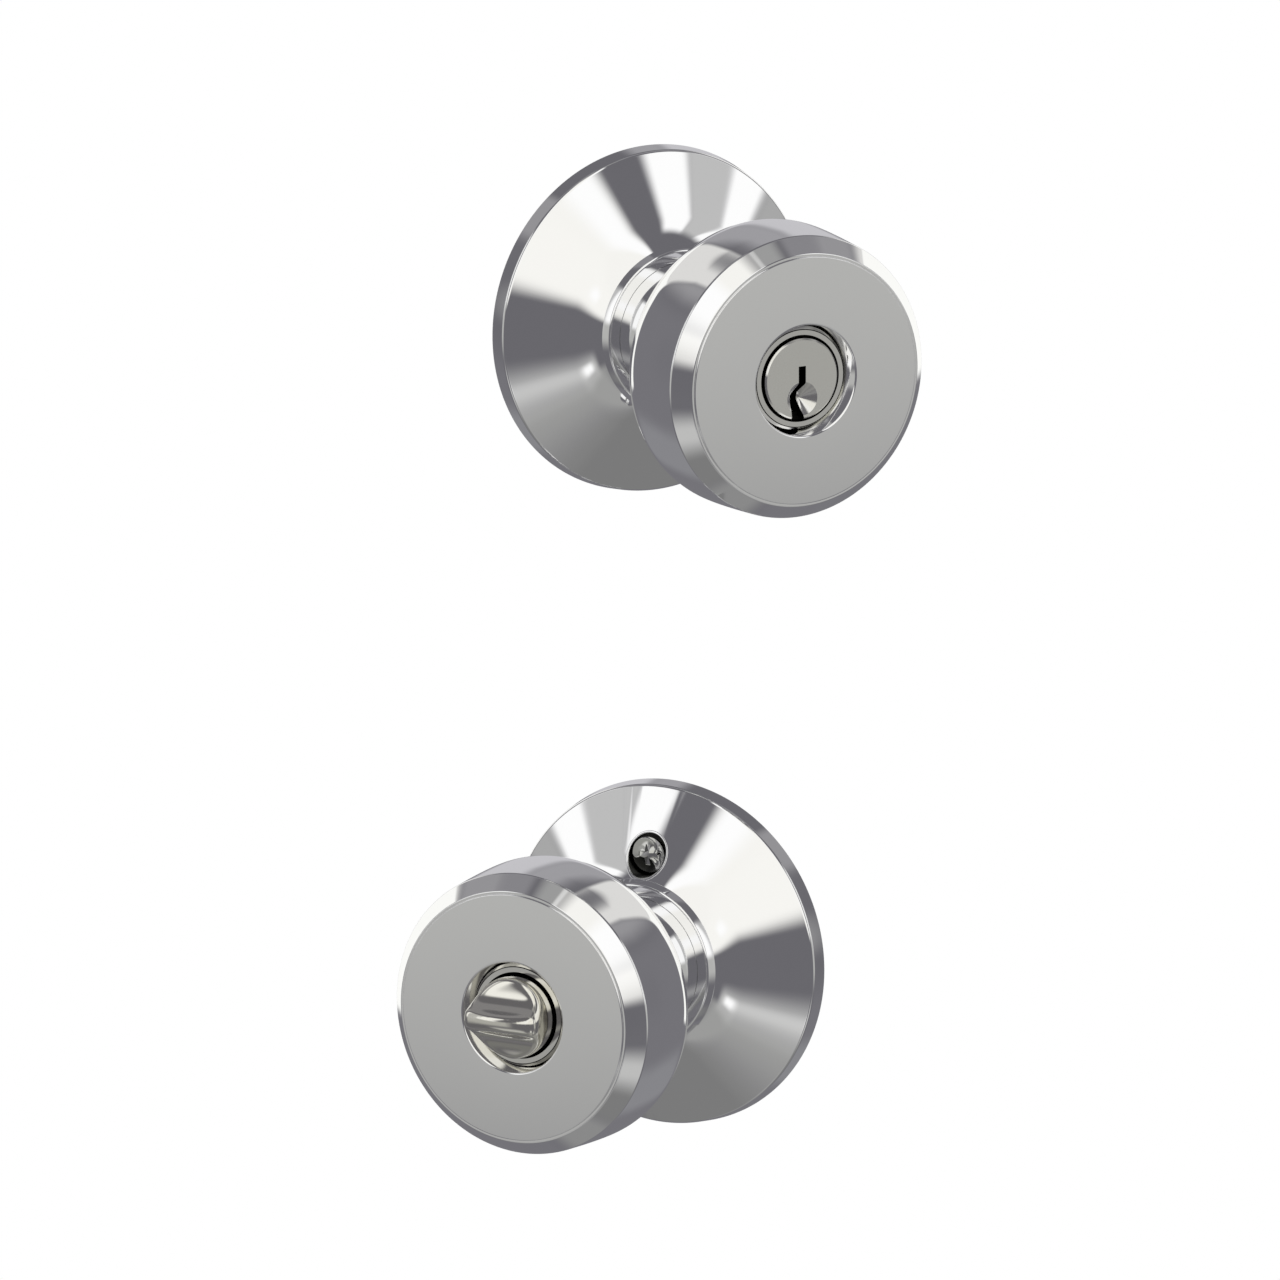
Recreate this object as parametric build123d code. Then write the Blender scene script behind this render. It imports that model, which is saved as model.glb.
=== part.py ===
import os
from math import atan2, cos, hypot, radians, sin, sqrt

from build123d import *

# Keyed entry knob lock, shown as its two halves: the outside half with the key cylinder stands
# above, and the inside half with the turn button stands below it, turned to face the other way.
# Each half is drawn in the same way: the door's face is the plane Y = 0, the knob's axis is Y,
# and the knob stands out of the door towards -Y. Lengths are in millimetres.

# Driving sizes
# Distances called "out" are measured from the door's face, out of the door.

# rose: the pressed cover plate on the door
ROSE_RADIUS = 32.5
ROSE_RIM = 3.2
ROSE_RISE = 8.1
ROSE_HOLLOW = 0.34
ROSE_SHEET = 0.9
ROSE_EDGE_ROUND = 0.7
HUB_WIDTH = 2.05
HUB_STAND = 2.3
HUB_THICK = 1.6
HUB_LIP_ROUND = 0.35
HUB_GAP = 0.15
FLARE_WIDTH = 2.3

# knob and its neck
NECK_RADIUS = 13.15
NECK_WALL = 2.0
NECK_END = -3.0
KNOB_BACK = 36.3
KNOB_RADIUS = 26.8
KNOB_TAPER = 0.3
KNOB_BACK_ROUND = 8.0
KNOB_WALL = 1.6
KNOB_SIDE = 19.5
BEVEL_DEPTH = 3.9
BEVEL_WIDTH = 3.3
BEVEL_FOOT_ROUND = 0.6
BEVEL_LIP_ROUND = 0.3
NECK_ROUND = 0.8
LIP_WIDTH = 2.5
LIP_THICK = 1.1

# pressed face plate in the knob's front
FACE_RADIUS = 23.2
FACE_PROUD = 0.55
FACE_SHEET = 1.0
FACE_SPIGOT = 2.2
FACE_EDGE_ROUND = 0.3
FACE_MOUTH_ROUND = 0.3
RECESS_WIDTH = 1.45
RECESS_DEPTH = 2.25
CUP_WALL = 0.8
NOSE_WALL = 0.9
NOSE_GAP = 0.55

# plate, bearing bush and spring cage behind the rose
PLATE_SHEET = 1.2
PLATE_DISH = 1.4
BUSH_WALL = 1.0
BUSH_LENGTH = 4.6
BUSH_FLANGE = 0.8
COLLAR_WALL = 0.9
CAGE_STAND = 1.55
CAGE_SHEET = 0.9
CAGE_GAP = 0.7

# spindle parts
SPIGOT_LENGTH = 15.0
DRUM_RADIUS = 8.0
JOURNAL_RADIUS = 6.8
JOURNAL_LENGTH = 4.0
SPINDLE_RADIUS = 5.0
SPINDLE_END = -42.0
SPINDLE_BORE = 3.2
RIB_WIDTH = 2.4
RIB_HEIGHT = 1.0
SOCKET_DEPTH = 14.0

# return spring, a flat strip wound like a clock spring
STRIP = 0.7
STRIP_WIDTH = 4.0
STRIP_PITCH = 1.7
STRIP_HALF_TURNS = 7
SPRING_GAP = 0.6
HOOK_LENGTH = 1.5

# stop washer on the spindle, and the cage's two stop tabs
WASHER_THICK = 2.0
WASHER_GAP = 1.4
WASHER_RIM = 2.0
STOP_WIDTH = 5.0
STOP_ANGLE = 86.0
STOP_TAB = 1.6
STOP_TAB_RISE = 3.6

# retaining ring on the neck
RING_THICK = 1.0
RING_GRIP = 1.2
RING_STAND = 0.55
RING_OUT = 0.0
RING_MOUTH = 8.0

# fixing: two screws through the inside half into two threaded posts on the outside half
FIXING_STAND = 5.3
WELL_RADIUS = 3.85
WELL_SINK = 0.75
WELL_LIP_ROUND = 0.4
SCREW_HEAD_RADIUS = 3.35
SCREW_HEAD_EDGE = 1.35
SCREW_HEAD_DOME = 1.3
SCREW_SHANK = 2.2
SCREW_RADIUS = 2.0
SCREW_END = -24.5
DRIVE_SPAN = 3.9
DRIVE_WIDTH = 0.95
DRIVE_DEPTH = 1.3
POST_RADIUS = 3.1
POST_HEAD = 4.2
POST_HEAD_THICK = 1.0
POST_END = -22.0
POST_TAP = 1.65
POST_TAP_DEPTH = 18.0

# key cylinder
PLUG_RADIUS = 6.6
HEAD_STEP = 1.0
PLUG_HEAD = 2.6
PLUG_PROUD = 0.7
PLUG_CHAMFER = 0.3
HEAD_POCKET = 2.0
PLUG_TAIL = 3.0
SHELL_INSET = 0.4
SHELL_SPIGOT = 6.5
TOWER_WIDTH = 6.4
TOWER_TOP = 16.6
TOWER_WALL = 0.9
PIN_RADIUS = 1.2
PIN_COUNT = 5
PIN_PITCH = 3.3
FIRST_PIN = 3.7
PIN_FLOOR = 0.2
PIN_TIP = 0.7
PIN_POINT = 0.55
PIN_LENGTHS = (4.6, 5.6, 4.0, 5.2, 4.9)
DRIVER_LENGTH = 4.4
COVER_SHEET = 0.9
PIN_SPRING_WIRE = 0.35
PIN_SPRING_TURNS = 4
KEY_SLOT = 1.5
KEY_SIDE = 0.1
KEY_TOP = 2.4
KEY_BEND = 1.0
KEY_SWAY = 1.75
KEY_LOW_SLOT = 1.75
KEY_FLARE = 1.2
KEY_FOOT = 2.6
KEY_FOOT_SIDE = 0.7
KEY_BEND_ROUND = 0.9
DIMPLE_RADIUS = 3.15
DIMPLE_DEPTH = 1.4
DIMPLE_POINT = 0.05
DIMPLE_DROP = 3.7

# clips, tailpiece and turn button
CLIP_THICK = 0.8
CLIP_GRIP = 0.8
CLIP_STAND = 1.6
CLIP_MOUTH = 3.6
TAIL_WIDTH = 4.8
TAIL_THICK = 1.5
TAIL_END = -46.0
TAIL_SLOT = 2.0
BUTTON_GAP = 0.55
BUTTON_DOME = 30.0
BUTTON_STAND = 4.9
BUTTON_WEB = 2.0
BUTTON_POCKET = 10.0
BUTTON_SHAFT = 3.0
BUTTON_SOCKET = 6.0
BUTTON_SHAFT_END = 6.0
BUTTON_SLOT_DEPTH = 8.0
SCOOP_RADIUS = 5.2
SCOOP_UP = 6.3
SCOOP_LEAD = 1.05
SCOOP_ROUND = 0.8
SLEEVE_BORE = 7.4

# clearances
RUN_FIT = 0.05
SLIDE_FIT = 0.1
FREE_GAP = 0.3
WIDE_GAP = 0.4

# the inside half's place in the set
INSIDE_TURN = -58.0
INSIDE_SIDE = 3.9
INSIDE_BACK = -2.2
INSIDE_DROP = -120.2

# Sizes that follow from the driving ones
BEVEL_START = KNOB_BACK + KNOB_SIDE
BEVEL_END = BEVEL_START + BEVEL_DEPTH
FACE_OUT = BEVEL_END + FACE_PROUD
FLOOR_OUT = FACE_OUT - RECESS_DEPTH
NECK_BORE = NECK_RADIUS - NECK_WALL
HUB_BORE = NECK_RADIUS + HUB_GAP
HUB_RADIUS = NECK_RADIUS + HUB_WIDTH
FLARE_RADIUS = HUB_RADIUS + FLARE_WIDTH
FLARE_OUT = ROSE_RIM + ROSE_RISE
HUB_OUT = FLARE_OUT + HUB_STAND
PLATE_FRONT = PLATE_DISH + PLATE_SHEET
BUSH_RADIUS = NECK_RADIUS + RUN_FIT + BUSH_WALL
COLLAR_RADIUS = BUSH_RADIUS + RUN_FIT + COLLAR_WALL
SPRING_OUT = NECK_END - SPRING_GAP - STRIP_WIDTH
WASHER_OUT = SPRING_OUT - WASHER_GAP
DRUM_END = WASHER_OUT - WASHER_THICK
CAGE_END = DRUM_END - CAGE_GAP - CAGE_SHEET
CAGE_RADIUS = NECK_RADIUS + CAGE_STAND
STOP_REACH = CAGE_RADIUS - CAGE_SHEET - WIDE_GAP
FIXING_RADIUS = CAGE_RADIUS + FIXING_STAND
SHELL_STEP = KNOB_BACK + KNOB_WALL - SHELL_INSET
SHELL_END = SHELL_STEP - SHELL_SPIGOT
PLUG_FACE = FLOOR_OUT + PLUG_PROUD
PLUG_HEAD_RADIUS = PLUG_RADIUS + HEAD_STEP
NOSE_BORE = PLUG_HEAD_RADIUS + NOSE_GAP
NOSE_RADIUS = NOSE_BORE + NOSE_WALL
RECESS_RADIUS = NOSE_RADIUS + RECESS_WIDTH
PLUG_END = SHELL_END - PLUG_TAIL
SHEAR = PLUG_RADIUS + RUN_FIT
BUTTON_RADIUS = NOSE_BORE - BUTTON_GAP
BUTTON_CREST = FACE_OUT + BUTTON_STAND
BUTTON_WEB_OUT = FLOOR_OUT - BUTTON_POCKET
SCOOP_OUT = BUTTON_CREST + SCOOP_LEAD


def turned(points, rounds=()):
    """A solid of revolution about the knob's axis from (radius, out) corners.

    rounds lists (corner number, radius) pairs for the corners that are rounded.
    """
    corners = [Vector(radius, -out) for radius, out in points]
    section = make_face(Polyline(*corners, close=True))
    for number, radius in rounds:
        corner = section.vertices().sort_by_distance(corners[number])[0]
        section = fillet(corner, radius)
    return revolve(section, Axis.Y)


def ring(inner, outer, out_from, out_to):
    """A plain tube or washer about the knob's axis."""
    return turned([(inner, out_from), (outer, out_from), (outer, out_to), (inner, out_to)])


def rod(radius, out_from, out_to, side=0.0, up=0.0):
    """A round bar along the knob's axis direction, standing off it by side and up."""
    bar = Cylinder(radius, abs(out_to - out_from), rotation=(90, 0, 0))
    return Pos(side, -(out_from + out_to) / 2, up) * bar


def block(side_from, side_to, out_from, out_to, up_from, up_to):
    """A rectangular bar given by its limits across, out of the door and upwards."""
    centre = Pos((side_from + side_to) / 2, -(out_from + out_to) / 2, (up_from + up_to) / 2)
    return centre * Box(side_to - side_from, abs(out_to - out_from), up_to - up_from)


def fixing_places():
    """The two fixing centres, above and below the knob's axis."""
    return [FIXING_RADIUS, -FIXING_RADIUS]


def rose_outer(radius):
    """How far out the straight line of the rose's cone is at a radius."""
    return ROSE_RIM + (ROSE_RADIUS - radius) * ROSE_RISE / (ROSE_RADIUS - FLARE_RADIUS)


def well_seat():
    """How far out a screw well's floor is, sunk below the well's lowest edge on the cone."""
    return rose_outer(FIXING_RADIUS + WELL_RADIUS) - WELL_SINK


def rose_front():
    """The rose's front line: a slightly hollow cone, then a flare up to the lip round the neck."""
    flare = (FLARE_RADIUS, -FLARE_OUT)
    cone = SagittaArc((ROSE_RADIUS, -ROSE_RIM), flare, -ROSE_HOLLOW)
    return [cone, TangentArc(flare, (HUB_RADIUS, -HUB_OUT), tangent=cone % 1)]


def rose():
    """Pressed cover plate: a low rim, a cone that flares up at the middle, and a lip at the neck."""
    slope = atan2(ROSE_RISE, ROSE_RADIUS - FLARE_RADIUS)
    drop = ROSE_SHEET / cos(slope)
    inside_radius = ROSE_RADIUS - ROSE_SHEET
    rim = (ROSE_RADIUS, -ROSE_RIM)
    lip = (HUB_RADIUS, -HUB_OUT)
    bore_back = (HUB_BORE, -(HUB_OUT - HUB_THICK))
    flare_inside = (FLARE_RADIUS, -(FLARE_OUT - drop))
    rim_inside = (inside_radius, -(rose_outer(inside_radius) - drop))
    outline = [
        Line((inside_radius, 0), (ROSE_RADIUS, 0)),
        Line((ROSE_RADIUS, 0), rim),
        *rose_front(),
        Line(lip, (HUB_BORE, -HUB_OUT)),
        Line((HUB_BORE, -HUB_OUT), bore_back),
        Line(bore_back, flare_inside),
        SagittaArc(flare_inside, rim_inside, ROSE_HOLLOW),
        Line(rim_inside, (inside_radius, 0)),
    ]
    section = make_face(outline)
    for corner, radius in [(rim, ROSE_EDGE_ROUND), (lip, HUB_LIP_ROUND)]:
        section = fillet(section.vertices().sort_by_distance(Vector(*corner))[0], radius)
    return revolve(section, Axis.Y)


def well_blank(radius, depth_from):
    """A bar at each fixing place, from a depth to past the rose's front."""
    return [rod(radius, depth_from, HUB_OUT, up=up) for up in fixing_places()]


def inside_rose():
    """The inside rose has a pressed well for each screw head, open through its floor."""
    cover = rose()
    outside = rose_solid_cone()
    seat = well_seat()
    wells = [bar & outside for bar in well_blank(WELL_RADIUS + ROSE_SHEET, seat - ROSE_SHEET)]
    for well in wells:
        cover += well
    for bar in well_blank(WELL_RADIUS, seat):
        cover -= bar
    mouths = []
    for edge in cover.edges():
        middle = edge @ 0.5
        stand = hypot(middle.X, abs(middle.Z) - FIXING_RADIUS)
        round_well = abs(stand - WELL_RADIUS) < RUN_FIT and edge.geom_type != GeomType.LINE
        if round_well and edge.bounding_box().size.Y > RUN_FIT:
            mouths.append(edge)
    cover = fillet(mouths, WELL_LIP_ROUND)
    for up in fixing_places():
        cover -= rod(SCREW_SHANK + FREE_GAP, 0, seat, up=up)
    return cover


def rose_solid_cone():
    """The space under the rose's outer face, which bounds the wells."""
    outline = [
        Line((0, 0), (ROSE_RADIUS, 0)),
        Line((ROSE_RADIUS, 0), (ROSE_RADIUS, -ROSE_RIM)),
        *rose_front(),
        Line((HUB_RADIUS, -HUB_OUT), (0, -HUB_OUT)),
        Line((0, -HUB_OUT), (0, 0)),
    ]
    return revolve(make_face(outline), Axis.Y)


def mounting_plate():
    """Dished steel plate inside the rose, with a collar drawn up round the bearing bush."""
    edge = ROSE_RADIUS - ROSE_SHEET - SLIDE_FIT
    bore = BUSH_RADIUS + RUN_FIT
    return turned([
        (edge, 0),
        (edge, PLATE_FRONT - PLATE_SHEET / 2),
        (edge - PLATE_SHEET / 2, PLATE_FRONT),
        (COLLAR_RADIUS, PLATE_FRONT),
        (COLLAR_RADIUS, PLATE_DISH + BUSH_LENGTH),
        (bore, PLATE_DISH + BUSH_LENGTH),
        (bore, PLATE_DISH),
        (edge - PLATE_SHEET, PLATE_DISH),
        (edge - PLATE_SHEET, 0),
    ])


def outside_mounting_plate():
    """The outside plate carries the two threaded posts in plain holes."""
    plate = mounting_plate()
    for up in fixing_places():
        plate -= rod(POST_RADIUS + RUN_FIT, PLATE_DISH, PLATE_FRONT, up=up)
    return plate


def inside_mounting_plate():
    """The inside plate has a drawn boss under each screw well, which takes the screw's clamp."""
    plate = mounting_plate()
    boss_radius = WELL_RADIUS + ROSE_SHEET / 2
    boss_out = well_seat() - ROSE_SHEET
    for up in fixing_places():
        plate += rod(boss_radius, PLATE_DISH, boss_out, up=up)
    for up in fixing_places():
        plate -= rod(SCREW_SHANK + FREE_GAP, PLATE_DISH, boss_out, up=up)
    return plate


def bearing():
    """Flanged bronze bush that the neck turns in."""
    front = PLATE_DISH + BUSH_LENGTH
    bore = NECK_RADIUS + RUN_FIT
    return turned([
        (bore, PLATE_DISH),
        (BUSH_RADIUS, PLATE_DISH),
        (BUSH_RADIUS, front),
        (COLLAR_RADIUS, front),
        (COLLAR_RADIUS, front + BUSH_FLANGE),
        (bore, front + BUSH_FLANGE),
    ])


def hook_slot(inner, outer, out_from, out_to, width):
    """A radial notch at the side of the axis, for an end of the return spring."""
    return block(inner, outer, out_from, out_to, -width / 2, width / 2)


def spring_cage():
    """Drawn cup behind the plate, round the return spring, with two stop tabs on its floor."""
    inside = CAGE_RADIUS - CAGE_SHEET
    cup = turned([
        (inside, PLATE_DISH),
        (CAGE_RADIUS, PLATE_DISH),
        (CAGE_RADIUS, CAGE_END),
        (JOURNAL_RADIUS + FREE_GAP, CAGE_END),
        (JOURNAL_RADIUS + FREE_GAP, CAGE_END + CAGE_SHEET),
        (inside, CAGE_END + CAGE_SHEET),
    ])
    floor = CAGE_END + CAGE_SHEET
    tab = block(DRUM_RADIUS + WASHER_RIM + WIDE_GAP, inside, floor, floor + STOP_TAB_RISE,
                -STOP_TAB / 2, STOP_TAB / 2)
    for angle in (90 - STOP_ANGLE, 90 + STOP_ANGLE):
        cup += Rot(0, -angle, 0) * tab
    spring_top = SPRING_OUT + STRIP_WIDTH
    slot = hook_slot(-CAGE_RADIUS - FREE_GAP, 0, SPRING_OUT - FREE_GAP, spring_top + FREE_GAP,
                     STRIP + 2 * FREE_GAP)
    wall_side = block(-CAGE_RADIUS - FREE_GAP, -inside + FREE_GAP, PLATE_DISH, CAGE_END,
                      -CAGE_RADIUS, CAGE_RADIUS)
    return cup - (slot & wall_side)


def return_spring():
    """Clock spring of flat strip: half circles of growing radius, hooked in the drum and the cage."""
    start = DRUM_RADIUS + FREE_GAP + STRIP / 2
    path = []
    centre = 0.0
    radius = start
    side = 1
    for half in range(STRIP_HALF_TURNS):
        begin = centre + side * radius
        end = centre - side * radius
        over = Vector(centre, side * radius)
        path.append(ThreePointArc((begin, 0), over, (end, 0)))
        centre = centre + side * STRIP_PITCH / 4
        radius = radius + STRIP_PITCH / 4
        side = -side
    first = (start, 0)
    last = path[-1] @ 1
    outward = 1 if last.X > 0 else -1
    hook_in = Line((start - HOOK_LENGTH, 0), first)
    hook_out = Line(last, (outward * CAGE_RADIUS, 0))
    strip = trace(path + [hook_in, hook_out], STRIP)
    return Pos(0, -SPRING_OUT, 0) * Rot(90, 0, 0) * extrude(strip, STRIP_WIDTH)


def drum(end_parts):
    """The turned part of a spindle that fills the neck's end, carries the spring and the washer."""
    blank = turned([
        (0, NECK_END + SPIGOT_LENGTH),
        (NECK_BORE - RUN_FIT, NECK_END + SPIGOT_LENGTH),
        (NECK_BORE - RUN_FIT, NECK_END),
        (DRUM_RADIUS, NECK_END),
        (DRUM_RADIUS, DRUM_END),
        (JOURNAL_RADIUS, DRUM_END),
        (JOURNAL_RADIUS, DRUM_END - JOURNAL_LENGTH),
        (0, DRUM_END - JOURNAL_LENGTH),
    ])
    notch = hook_slot(DRUM_RADIUS - HOOK_LENGTH, DRUM_RADIUS + FREE_GAP, SPRING_OUT - FREE_GAP,
                      SPRING_OUT + STRIP_WIDTH + FREE_GAP, STRIP + 2 * FREE_GAP)
    return blank + end_parts - notch


def outside_spindle():
    """Hollow spindle fixed in the outside knob: it crosses the door and turns the latch."""
    tube = rod(SPINDLE_RADIUS, DRUM_END, SPINDLE_END)
    rib = block(-RIB_WIDTH / 2, RIB_WIDTH / 2, DRUM_END - JOURNAL_LENGTH, SPINDLE_END,
                0, SPINDLE_RADIUS + RIB_HEIGHT)
    return drum(tube + rib) - rod(SPINDLE_BORE, NECK_END + SPIGOT_LENGTH, SPINDLE_END)


def inside_drive_sleeve():
    """Sleeve fixed in the inside knob: its socket takes the end of the outside spindle."""
    mouth = DRUM_END - JOURNAL_LENGTH
    floor = mouth + SOCKET_DEPTH
    bore = SPINDLE_RADIUS + SLIDE_FIT
    sleeve = drum(ring(bore, JOURNAL_RADIUS, DRUM_END, mouth))
    sleeve -= rod(bore, mouth, floor)
    groove = RIB_WIDTH / 2 + SLIDE_FIT
    sleeve -= block(-groove, groove, mouth, floor, 0, SPINDLE_RADIUS + RIB_HEIGHT + SLIDE_FIT)
    return sleeve - rod(BUTTON_SHAFT + FREE_GAP, mouth, NECK_END + SPIGOT_LENGTH)


def stop_washer():
    """Washer keyed on the drum, with the arm that meets the cage's stop tabs."""
    rim = DRUM_RADIUS + WASHER_RIM
    washer = rod(rim, DRUM_END, WASHER_OUT)
    washer += block(-STOP_WIDTH / 2, STOP_WIDTH / 2, DRUM_END, WASHER_OUT, 0, STOP_REACH)
    return washer - rod(DRUM_RADIUS + RUN_FIT, DRUM_END, WASHER_OUT)


def retaining_ring():
    """Open spring ring in the neck's groove, behind the plate."""
    inner = NECK_RADIUS - RING_GRIP + RUN_FIT
    outer = NECK_RADIUS + RING_STAND
    band = ring(inner, outer, RING_OUT, RING_OUT - RING_THICK)
    mouth = block(-RING_MOUTH / 2, RING_MOUTH / 2, RING_OUT, RING_OUT - RING_THICK, -outer, 0)
    return band - mouth


def knob_body():
    """Knob drawn in one piece with its neck: a hollow drum with a rounded back and bevelled front."""
    back_radius = KNOB_RADIUS - KNOB_TAPER
    bevel_radius = KNOB_RADIUS - BEVEL_WIDTH
    lip_radius = bevel_radius - LIP_WIDTH
    inside = back_radius - KNOB_WALL
    floor = KNOB_BACK + KNOB_WALL
    inner_round = max(KNOB_BACK_ROUND - KNOB_WALL, KNOB_WALL)
    body = turned(
        [
            (NECK_BORE, NECK_END),
            (NECK_RADIUS, NECK_END),
            (NECK_RADIUS, KNOB_BACK),
            (back_radius, KNOB_BACK),
            (KNOB_RADIUS, BEVEL_START),
            (bevel_radius, BEVEL_END),
            (lip_radius, BEVEL_END),
            (lip_radius, BEVEL_END - LIP_THICK),
            (inside, BEVEL_START - KNOB_WALL),
            (inside, floor),
            (NECK_BORE, floor),
        ],
        [
            (2, NECK_ROUND),
            (3, KNOB_BACK_ROUND),
            (4, BEVEL_FOOT_ROUND),
            (5, BEVEL_LIP_ROUND),
            (9, inner_round),
        ],
    )
    groove = ring(NECK_RADIUS - RING_GRIP, NECK_RADIUS + RING_STAND,
                  RING_OUT + RUN_FIT, RING_OUT - RING_THICK - RUN_FIT)
    return body - groove


def knob_face():
    """Pressed face plate: it sits on the knob's lip and dishes in to a cup at the middle."""
    lip_radius = KNOB_RADIUS - BEVEL_WIDTH - LIP_WIDTH
    spigot = lip_radius - SLIDE_FIT
    hole = NOSE_RADIUS + SLIDE_FIT
    back = FACE_OUT - FACE_SHEET
    cup_back = FLOOR_OUT - CUP_WALL
    return turned(
        [
            (RECESS_RADIUS, FACE_OUT),
            (FACE_RADIUS, FACE_OUT),
            (FACE_RADIUS, BEVEL_END),
            (spigot, BEVEL_END),
            (spigot, BEVEL_END - FACE_SPIGOT),
            (spigot - CUP_WALL, BEVEL_END - FACE_SPIGOT),
            (spigot - CUP_WALL, back),
            (RECESS_RADIUS + CUP_WALL, back),
            (hole + CUP_WALL, cup_back),
            (hole, cup_back),
            (hole, FLOOR_OUT),
        ],
        [(1, FACE_EDGE_ROUND), (0, FACE_MOUTH_ROUND)],
    )


def screw_posts():
    """Two posts staked in the outside plate, tapped from their far ends for the screws."""
    posts = []
    for up in fixing_places():
        post = rod(POST_RADIUS, PLATE_FRONT, POST_END, up=up)
        post += rod(POST_HEAD, PLATE_FRONT + POST_HEAD_THICK, PLATE_FRONT, up=up)
        post -= rod(POST_TAP, POST_END + POST_TAP_DEPTH, POST_END, up=up)
        posts.append(post)
    return Compound(posts)


def mounting_screws():
    """Two oval-head machine screws with a plain shank in the rose's wells and a cross recess."""
    seat = well_seat()
    shank_foot = PLATE_DISH - WIDE_GAP
    edge = seat + SCREW_HEAD_EDGE
    crest = edge + SCREW_HEAD_DOME
    outline = [
        Line((0, -SCREW_END), (SCREW_RADIUS, -SCREW_END)),
        Line((SCREW_RADIUS, -SCREW_END), (SCREW_RADIUS, -shank_foot)),
        Line((SCREW_RADIUS, -shank_foot), (SCREW_SHANK, -shank_foot)),
        Line((SCREW_SHANK, -shank_foot), (SCREW_SHANK, -seat)),
        Line((SCREW_SHANK, -seat), (SCREW_HEAD_RADIUS, -seat)),
        Line((SCREW_HEAD_RADIUS, -seat), (SCREW_HEAD_RADIUS, -edge)),
        SagittaArc((SCREW_HEAD_RADIUS, -edge), (0, -crest), dome_sagitta()),
        Line((0, -crest), (0, -SCREW_END)),
    ]
    screw = revolve(make_face(outline), Axis.Y)
    half = DRIVE_SPAN / 2
    slot = DRIVE_WIDTH / 2
    screw -= block(-half, half, crest, crest - DRIVE_DEPTH, -slot, slot)
    screw -= block(-slot, slot, crest, crest - DRIVE_DEPTH, -half, half)
    return Compound([Pos(0, 0, up) * screw for up in fixing_places()])


def dome_sagitta():
    """Bulge of the arc that crowns the screw head over its half chord."""
    ball = (SCREW_HEAD_RADIUS ** 2 + SCREW_HEAD_DOME ** 2) / (2 * SCREW_HEAD_DOME)
    chord = sqrt(SCREW_HEAD_RADIUS ** 2 + SCREW_HEAD_DOME ** 2)
    return -(ball - sqrt(ball ** 2 - (chord / 2) ** 2))


def pin_places():
    """Distance out of each pin stack, the first one set back from the housing's nose."""
    return [FLOOR_OUT - FIRST_PIN - number * PIN_PITCH for number in range(PIN_COUNT)]


def tower_ends():
    """Front and back of the pin tower, one wall past the first and the last pin chamber."""
    places = pin_places()
    past = PIN_RADIUS + TOWER_WALL
    return places[0] + past, places[-1] - past


def upright(radius, up_from, up_to, out):
    """A round bar standing upwards at a distance out, on the middle plane."""
    bar = Cylinder(radius, up_to - up_from)
    return Pos(0, -out, (up_from + up_to) / 2) * bar


def cylinder_shell():
    """Cylinder housing: a round nose in the face plate, a tower for the pins and a rear spigot."""
    shell = turned([
        (0, FLOOR_OUT),
        (NOSE_RADIUS, FLOOR_OUT),
        (NOSE_RADIUS, SHELL_STEP),
        (NECK_BORE - RUN_FIT, SHELL_STEP),
        (NECK_BORE - RUN_FIT, SHELL_END),
        (0, SHELL_END),
    ])
    half = TOWER_WIDTH / 2
    front, back = tower_ends()
    shell += block(-half, half, front, back, 0, TOWER_TOP)
    shell -= rod(SHEAR, FLOOR_OUT, SHELL_END)
    shell -= rod(NOSE_BORE, FLOOR_OUT, FLOOR_OUT - HEAD_POCKET)
    for out in pin_places():
        shell -= upright(PIN_RADIUS + RUN_FIT, 0, TOWER_TOP, out)
    return shell


def chamber_cover():
    """Strip that closes the tops of the pin chambers."""
    half = TOWER_WIDTH / 2
    front, back = tower_ends()
    return block(-half, half, front, back, TOWER_TOP, TOWER_TOP + COVER_SHEET)


def driver_pins():
    """Driver pins, resting at the shear line just above the plug."""
    foot = SHEAR + RUN_FIT
    return Compound([upright(PIN_RADIUS, foot, foot + DRIVER_LENGTH, out) for out in pin_places()])


def pin_springs():
    """A small coil spring over each driver pin, up to the cover."""
    foot = SHEAR + RUN_FIT + DRIVER_LENGTH
    length = TOWER_TOP - foot - PIN_SPRING_WIRE
    radius = PIN_RADIUS - PIN_SPRING_WIRE / 2
    path = Helix(length / PIN_SPRING_TURNS, length, radius)
    wire = Plane(path @ 0, z_dir=path % 0) * Rectangle(PIN_SPRING_WIRE, PIN_SPRING_WIRE)
    coil = sweep(wire, path, is_frenet=True)
    lift = foot + PIN_SPRING_WIRE / 2
    return Compound([Pos(0, -out, lift) * coil for out in pin_places()])


def bottom_pins():
    """Bottom pins of several lengths with pointed tips, their tops at the shear line."""
    top = sqrt(PLUG_RADIUS ** 2 - PIN_RADIUS ** 2) - RUN_FIT
    pins = []
    for out, length in zip(pin_places(), PIN_LENGTHS):
        foot = top - length
        pin = upright(PIN_RADIUS, foot + PIN_TIP, top, out)
        tip = Cone(PIN_POINT, PIN_RADIUS, PIN_TIP)
        pins.append(pin + Pos(0, -out, foot + PIN_TIP / 2) * tip)
    return Compound(pins)


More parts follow.
